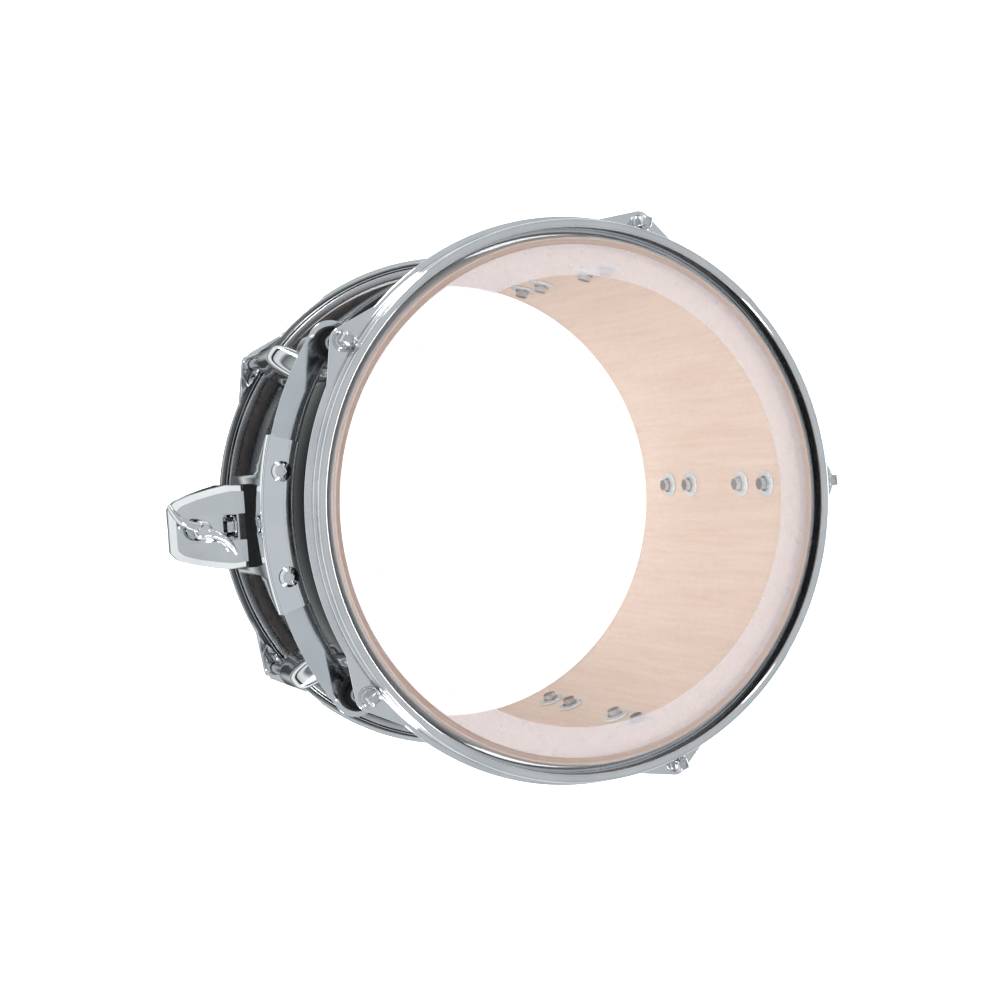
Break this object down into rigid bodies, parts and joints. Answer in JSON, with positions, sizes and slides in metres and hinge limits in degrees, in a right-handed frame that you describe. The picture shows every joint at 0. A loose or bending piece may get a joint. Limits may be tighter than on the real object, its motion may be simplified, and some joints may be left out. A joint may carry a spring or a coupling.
{
  "type": "tom drum",
  "caption": "Small two-headed rack tom drum with triple-flanged hoops, tension rods, lugs and a suspension clamp for a tom arm.",
  "frame": {"origin": "on the drum's axis, in the plane of the resonant hoop's rim, on which the drum stands", "axes": "+Z along the drum's axis from the resonant head to the batter head; the tom mount points along -Y"},
  "size_m": [0.2786, 0.3389, 0.1846],
  "materials": {
    "shell_wood": "pale veneer, sanded, thin satin sealer",
    "gloss_finish": "black high gloss wrap",
    "head_film": "clear polyester film",
    "muffle_film": "frosted polyester film",
    "flesh_hoop": "rolled aluminium channel",
    "hoop_chrome": "mirror chrome on pressed steel",
    "lug_chrome": "mirror chrome on die-cast zinc",
    "rod_chrome": "bright plated steel",
    "black_gasket": "matt",
    "insert_steel": "turned, zinc plated",
    "screw_steel": "zinc plated",
    "washer_zinc": "bright zinc plate",
    "mount_chrome": "mirror chrome on steel plate",
    "mount_rubber": "moulded, matt",
    "casting_chrome": "chrome on die-cast zinc",
    "bolt_black": "black oxide"
  },
  "bodies": {
    "drum": {"shell": "shell_wood", "shell_finish": "gloss_finish", "batter_head": "head_film", "muffle_ring": "muffle_film", "batter_flesh_hoop": "flesh_hoop", "batter_hoop": "hoop_chrome", "resonant_head": "head_film", "resonant_flesh_hoop": "flesh_hoop", "resonant_hoop": "hoop_chrome", "batter_lug_1": "lug_chrome", "batter_lug_2": "lug_chrome", "batter_lug_3": "lug_chrome", "batter_lug_4": "lug_chrome", "batter_lug_5": "lug_chrome", "resonant_lug_1": "lug_chrome", "resonant_lug_2": "lug_chrome", "resonant_lug_3": "lug_chrome", "resonant_lug_4": "lug_chrome", "resonant_lug_5": "lug_chrome", "lug_gaskets": "black_gasket", "lug_inserts": "insert_steel", "lug_screws": "screw_steel", "lug_spring_washers": "screw_steel", "lug_plate_washers": "washer_zinc", "batter_rod_washers": "rod_chrome", "resonant_rod_washers": "rod_chrome", "mount_crescent": "mount_chrome", "mount_grommets": "mount_rubber", "grommet_sleeves": "screw_steel", "mount_bracket": "mount_chrome", "bracket_rivets": "mount_chrome", "clamp_gasket": "mount_rubber", "clamp_casting": "casting_chrome", "clamp_bolt": "bolt_black", "clamp_nut": "rod_chrome"},
    "batter_rod_1": {"batter_rod_1": "rod_chrome"},
    "batter_rod_2": {"batter_rod_2": "rod_chrome"},
    "batter_rod_3": {"batter_rod_3": "rod_chrome"},
    "batter_rod_4": {"batter_rod_4": "rod_chrome"},
    "batter_rod_5": {"batter_rod_5": "rod_chrome"},
    "resonant_rod_1": {"resonant_rod_1": "rod_chrome"},
    "resonant_rod_2": {"resonant_rod_2": "rod_chrome"},
    "resonant_rod_3": {"resonant_rod_3": "rod_chrome"},
    "resonant_rod_4": {"resonant_rod_4": "rod_chrome"},
    "resonant_rod_5": {"resonant_rod_5": "rod_chrome"},
    "shoe": {"clamp_shoe": "insert_steel"},
    "wing": {"wing_screw": "casting_chrome"}
  },
  "joints": [
    {"name": "batter_rod_1_turn", "type": "hinge", "parent": "drum", "child": "batter_rod_1", "pos_m": [0.13258, 0.04308, 0.15], "axis": [0, 0, 1], "continuous": true},
    {"name": "batter_rod_2_turn", "type": "hinge", "parent": "drum", "child": "batter_rod_2", "pos_m": [0, 0.1394, 0.15], "axis": [0, 0, 1], "continuous": true},
    {"name": "batter_rod_3_turn", "type": "hinge", "parent": "drum", "child": "batter_rod_3", "pos_m": [-0.13258, 0.04308, 0.15], "axis": [0, 0, 1], "continuous": true},
    {"name": "batter_rod_4_turn", "type": "hinge", "parent": "drum", "child": "batter_rod_4", "pos_m": [-0.08194, -0.11278, 0.15], "axis": [0, 0, 1], "continuous": true},
    {"name": "batter_rod_5_turn", "type": "hinge", "parent": "drum", "child": "batter_rod_5", "pos_m": [0.08194, -0.11278, 0.15], "axis": [0, 0, 1], "continuous": true},
    {"name": "resonant_rod_1_turn", "type": "hinge", "parent": "drum", "child": "resonant_rod_1", "pos_m": [0.13258, 0.04308, 0.0346], "axis": [0, 0, 1], "continuous": true},
    {"name": "resonant_rod_2_turn", "type": "hinge", "parent": "drum", "child": "resonant_rod_2", "pos_m": [0, 0.1394, 0.0346], "axis": [0, 0, 1], "continuous": true},
    {"name": "resonant_rod_3_turn", "type": "hinge", "parent": "drum", "child": "resonant_rod_3", "pos_m": [-0.13258, 0.04308, 0.0346], "axis": [0, 0, 1], "continuous": true},
    {"name": "resonant_rod_4_turn", "type": "hinge", "parent": "drum", "child": "resonant_rod_4", "pos_m": [-0.08194, -0.11278, 0.0346], "axis": [0, 0, 1], "continuous": true},
    {"name": "resonant_rod_5_turn", "type": "hinge", "parent": "drum", "child": "resonant_rod_5", "pos_m": [0.08194, -0.11278, 0.0346], "axis": [0, 0, 1], "continuous": true},
    {"name": "shoe_slide", "type": "slide", "parent": "drum", "child": "shoe", "axis": [0, 0, -1], "range_m": [0, 0.003]},
    {"name": "wing_screw_turn", "type": "hinge", "parent": "shoe", "child": "wing", "pos_m": [0, -0.1775, 0.137], "axis": [0, 0, -1], "range_deg": [0, 864]}
  ],
  "couplings": [
    {"joint": "wing_screw_turn", "follows": "shoe_slide", "rad_per_m": 5026.5}
  ]
}
